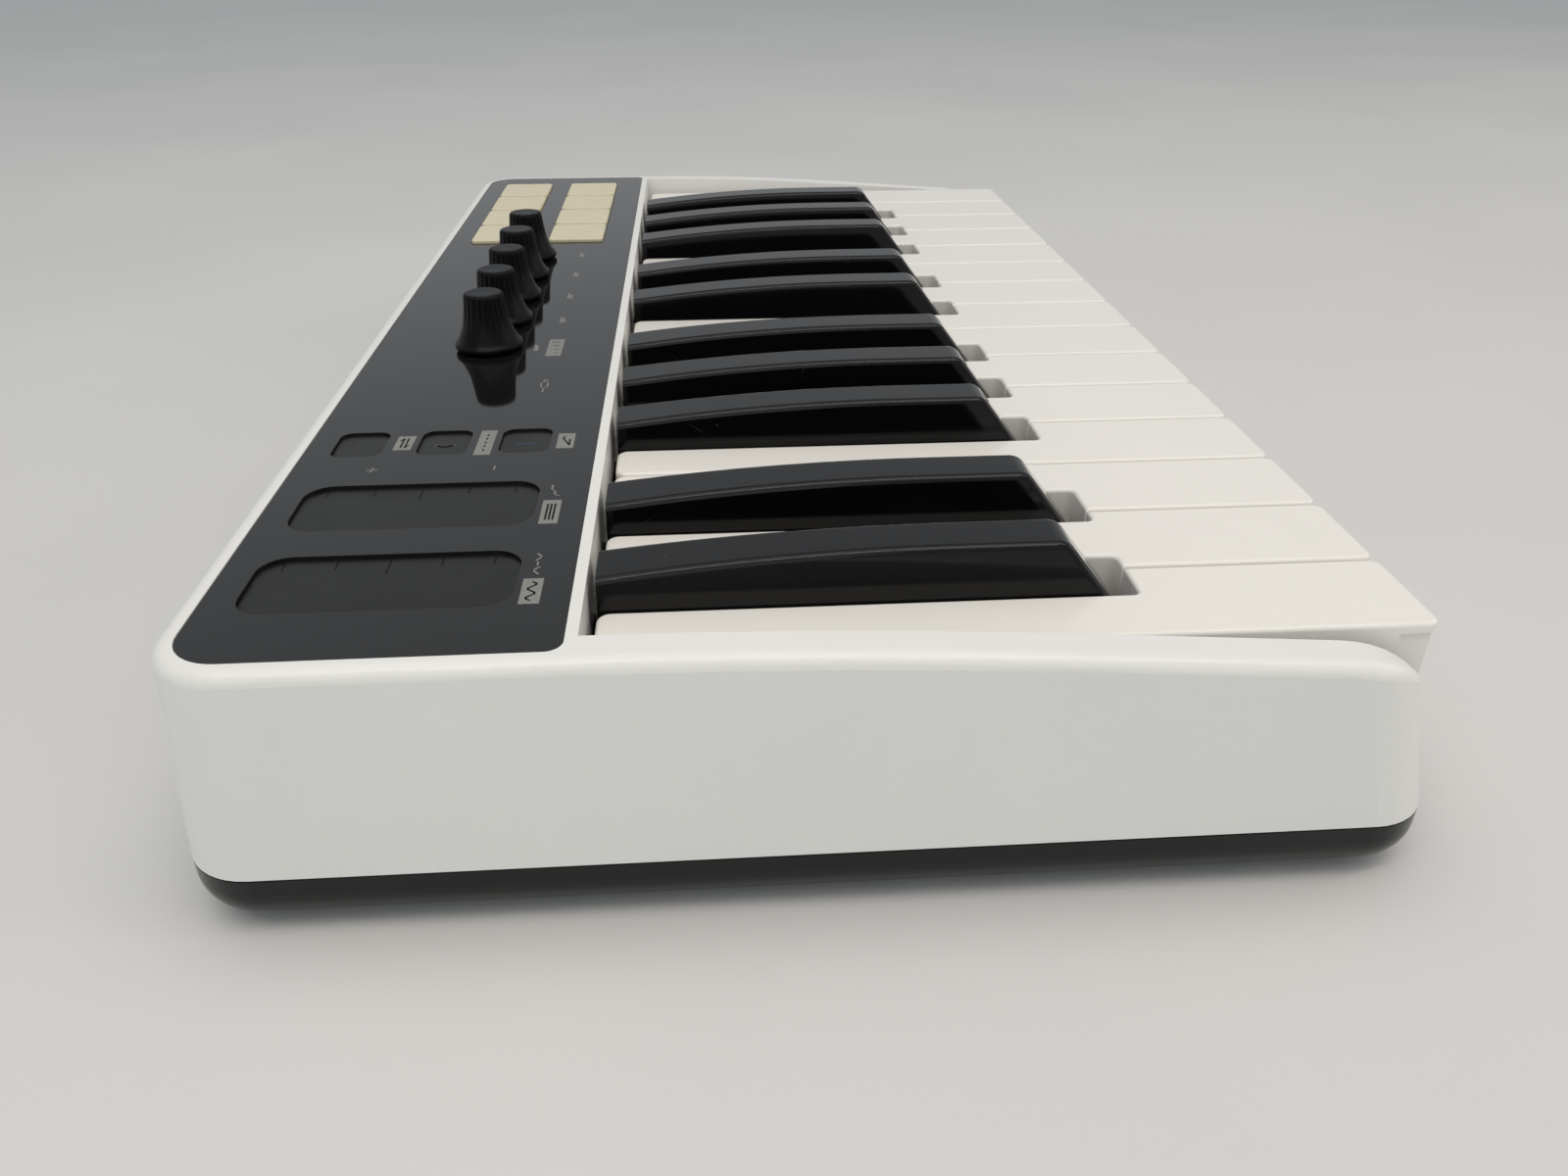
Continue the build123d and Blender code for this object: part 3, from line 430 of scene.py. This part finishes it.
# Radius, and height over the skirt's foot, up the side and over the top.
KNOB_PROFILE = [
    (7.9, 0.0), (8.4, 0.12), (8.65, 0.5), (8.65, 1.25), (8.5, 1.48), (8.1, 1.85), (7.75, 2.35),
    (7.4, 3.0), (7.03, 3.8), (6.7, 4.6), (6.42, 5.4), (6.18, 6.2), (5.98, 7.0), (5.81, 7.8),
    (5.66, 8.7), (5.53, 9.6), (5.4, 10.6), (5.29, 11.6), (5.2, 12.5), (5.13, 13.2),
    (5.05, 13.65), (4.9, 13.98), (4.65, 14.2), (4.3, 14.28), (3.6, 14.3), (2.2, 14.26),
    (1.0, 14.24), (0.05, 14.23),
]


def flute_depth(r, z):
    """Flutes fade out where the grip starts to flare, and towards the middle of the top."""
    rise = min(1.0, max(0.0, (z - FLUTE_START) / FLUTE_RUN))
    fade = min(1.0, max(0.0, (r - FLUTE_TOP_R) / FLUTE_TOP_RUN))
    return FLUTE_DEPTH * rise * rise * (3 - 2 * rise) * fade


def turned(name, middle, rings, sides, body, slot):
    """A closed turned piece on a body, from (radius, height, flute depth) rings in millimetres."""
    points = []
    for r, z, depth in rings:
        for i in range(sides):
            turn = 2 * math.pi * i / sides
            groove = (0.5 + 0.5 * math.cos(FLUTES * turn)) ** 2
            reach = (r - depth * groove) * MM
            x, y = middle[0] + reach * math.cos(turn), middle[1] + reach * math.sin(turn)
            points.append((x, y, z * MM))
    faces = [tuple(range(sides - 1, -1, -1))]
    for ring in range(len(rings) - 1):
        for i in range(sides):
            a, b = ring * sides + i, ring * sides + (i + 1) % sides
            faces.append((a, b, b + sides, a + sides))
    faces.append(tuple(range((len(rings) - 1) * sides, len(rings) * sides)))
    return smooth_piece(name, points, faces, body, slot)


def smooth_piece(name, points, faces, body, slot):
    """A smooth-shaded mesh that rides on a body, in a material slot's look."""
    mesh = bpy.data.meshes.new(name)
    mesh.from_pydata(points, [], faces)
    mesh.polygons.foreach_set("use_smooth", [True] * len(mesh.polygons))
    mesh.set_sharp_from_angle(angle=SHARP)
    mesh.materials.append(looks[slot].mat)
    piece = bpy.data.objects.new(name, mesh)
    bpy.context.scene.collection.objects.link(piece)
    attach(piece, body)
    return piece


def fluted_knob(node):
    """A bell-shaped fluted cap on its stem, in the place of the CAD knob."""
    low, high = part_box(node)
    skirt = high.z / MM - KNOB_TOP
    rings = [(AXIS_R, low.z / MM, 0), (STEM_R, low.z / MM, 0), (STEM_R, skirt, 0)]
    rings += [(r, skirt + z, flute_depth(r, z)) for r, z in KNOB_PROFILE]
    middle = ((low.x + high.x) / 2, (low.y + high.y) / 2)
    knob = turned(f"fluted_{node}", middle, rings, KNOB_SIDES, node, "knob_black")
    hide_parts(node)


for count in range(1, KNOBS + 1):
    fluted_knob(f"knob_{count}")


# ------------------------------------------------------------------ rubber domes
DOME_NODE = "rubber_dome_strips"
DOME_SLOT = "dome_silicone"
DOME_SIDES = 48
DOME_RIM = 0.1
MAT_THICK = 0.6
MAT_GAP = 0.5
MAT_CORNER = 1.5
MAT_EDGE = 0.15
MAT_CORNER_STEPS = 8
# Radius, and height over the mat, from inside the mat to the top.
DOME_PROFILE = [
    (0.05, -0.05), (3.1, -0.05), (3.2, 0.0), (3.16, 0.3), (2.98, 0.8), (2.66, 1.5), (2.4, 2.1),
    (2.29, 2.55), (2.18, 2.82), (1.95, 3.0), (1.6, 3.0), (1.4, 2.9), (0.05, 2.9),
]


def dome_spots(mesh, top):
    """The middles of the domes, from bass to treble, from the rims of their tops."""
    rims = sorted((v.co.x, v.co.y) for v in mesh.vertices if v.co.z > top - DOME_RIM * MM)
    groups = [[rims[0]]]
    for point in rims[1:]:
        if point[0] - groups[-1][-1][0] > MM:
            groups.append([])
        groups[-1].append(point)
    middle = [(min(values) + max(values)) / 2 for group in groups for values in zip(*group)]
    return list(zip(middle[::2], middle[1::2]))


def rounded_mat(name, x0, x1, y0, y1, z0, z1):
    """A thin mat with rounded corners and a softened top edge, in metres."""
    points = []
    corner = MAT_CORNER * MM
    left, right, front, back = x0 + corner, x1 - corner, y0 + corner, y1 - corner
    middles = [(right, back), (left, back), (left, front), (right, front)]
    for inset, z in ((0, z0), (0, z1 - MAT_EDGE * MM), (MAT_EDGE * MM, z1)):
        r = corner - inset
        for quarter, (x, y) in enumerate(middles):
            for i in range(MAT_CORNER_STEPS + 1):
                turn = math.pi / 2 * (quarter + i / MAT_CORNER_STEPS)
                points.append((x + r * math.cos(turn), y + r * math.sin(turn), z))
    around = len(points) // 3
    faces = [tuple(range(around - 1, -1, -1)), tuple(range(2 * around, 3 * around))]
    for ring in (0, around):
        for i in range(around):
            after = (i + 1) % around
            faces.append((ring + i, ring + after, ring + around + after, ring + around + i))
    return smooth_piece(name, points, faces, CASE, DOME_SLOT)


def rubber_domes():
    """Two mats and a separate dome under each key."""
    low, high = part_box(DOME_NODE)
    mat_top = low.z + MAT_THICK * MM
    mats = (("dome_mat_bass", low.x, -MAT_GAP * MM), ("dome_mat_treble", MAT_GAP * MM, high.x))
    for name, x0, x1 in mats:
        mat = rounded_mat(name, x0, x1, low.y, high.y, low.z, mat_top)
        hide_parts(DOME_NODE)
    spots = dome_spots(nodes[DOME_NODE].data, high.z)
    keys = [joint for joint in frame["joints"] if "_key_" in joint["name"]]
    for spot, joint in zip(spots, keys, strict=True):
        rings = [(r, mat_top / MM + z, 0) for r, z in DOME_PROFILE]
        dome = turned(f"dome_{joint['child']}", spot, rings, DOME_SIDES, CASE, DOME_SLOT)
        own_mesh(dome)


rubber_domes()


# ------------------------------------------------------------------ floor, light, camera
FLOOR_HALF = 4.0
CAMERA_SPOT = (-0.33874, 0.01814, 0.15494)
CAMERA_YAW = -0.069
CAMERA_PITCH = 0.529
CAMERA_LENS = 27.04
CAMERA_SENSOR = 36.0
CAMERA_NEAR = 0.01


def floor():
    """A plain pale floor with a faint grain."""
    mesh = bpy.data.meshes.new("floor")
    half = FLOOR_HALF
    corners = [(-half, -half, 0), (half, -half, 0), (half, half, 0), (-half, half, 0)]
    mesh.from_pydata(corners, [], [(0, 1, 2, 3)])
    piece = bpy.data.objects.new("floor", mesh)
    bpy.context.scene.collection.objects.link(piece)
    look = Look("floor_pale", Specular_IOR_Level=0.3)
    cloud = look.spread(look.noise(240, 3))
    look.set("Base_Color", look.mix(cloud, (0.63, 0.63, 0.625), (0.67, 0.67, 0.66)))
    look.set("Roughness", look.span(cloud, 0, 1, 0.6, 0.7))
    look.bump((look.noise(0.8, 2), 0.02))
    mesh.materials.append(look.mat)


def softbox(name, spot, aim, size, watts, colour):
    """A soft rectangular lamp, in metres and watts."""
    data = bpy.data.lights.new(name, "AREA")
    data.shape = "RECTANGLE"
    data.size, data.size_y = size
    data.energy = watts
    data.color = colour
    lamp = bpy.data.objects.new(name, data)
    lamp.location = spot
    lamp.rotation_mode = "QUATERNION"
    lamp.rotation_quaternion = (Vector(aim) - Vector(spot)).to_track_quat("-Z", "Y")
    bpy.context.scene.collection.objects.link(lamp)


def surroundings(colour, strength):
    """An even dim room around the object."""
    world = bpy.data.worlds.new("studio")
    world.use_nodes = True
    back = world.node_tree.nodes["Background"]
    back.inputs[0].default_value = (*colour, 1)
    back.inputs[1].default_value = strength
    bpy.context.scene.world = world


def camera():
    """The photograph's viewing angle."""
    data = bpy.data.cameras.new("camera")
    data.sensor_width = CAMERA_SENSOR
    data.lens = CAMERA_LENS
    data.clip_start = CAMERA_NEAR
    eye = bpy.data.objects.new("camera", data)
    eye.location = CAMERA_SPOT
    level = math.cos(CAMERA_PITCH)
    across, along = level * math.cos(CAMERA_YAW), level * math.sin(CAMERA_YAW)
    ahead = Vector((across, along, -math.sin(CAMERA_PITCH)))
    eye.rotation_mode = "QUATERNION"
    eye.rotation_quaternion = ahead.to_track_quat("-Z", "Y")
    bpy.context.scene.collection.objects.link(eye)
    bpy.context.scene.camera = eye


floor()
surroundings((0.94, 0.97, 1.0), 0.5)
softbox("overhead", (-0.3, 0.05, 1.25), (0, 0, 0), (1.3, 1.3), 5.4, (1.0, 0.955, 0.91))
softbox("near_fill", (-1.3, 0.3, 0.7), (0, 0, 0.03), (1.0, 0.8), 1.2, (0.95, 0.98, 1.0))
softbox("front_warm", (0.1, -1.6, 0.7), (0, 0, 0.03), (1.2, 0.8), 2.7, (1.0, 0.86, 0.72))
softbox("strip", (-0.45, -0.2, 1.1), (-0.1, -0.1, 0.05), (1.8, 0.05), 3.6, (1.0, 0.9, 0.76))
camera()
bpy.context.scene.view_settings.view_transform = "Standard"
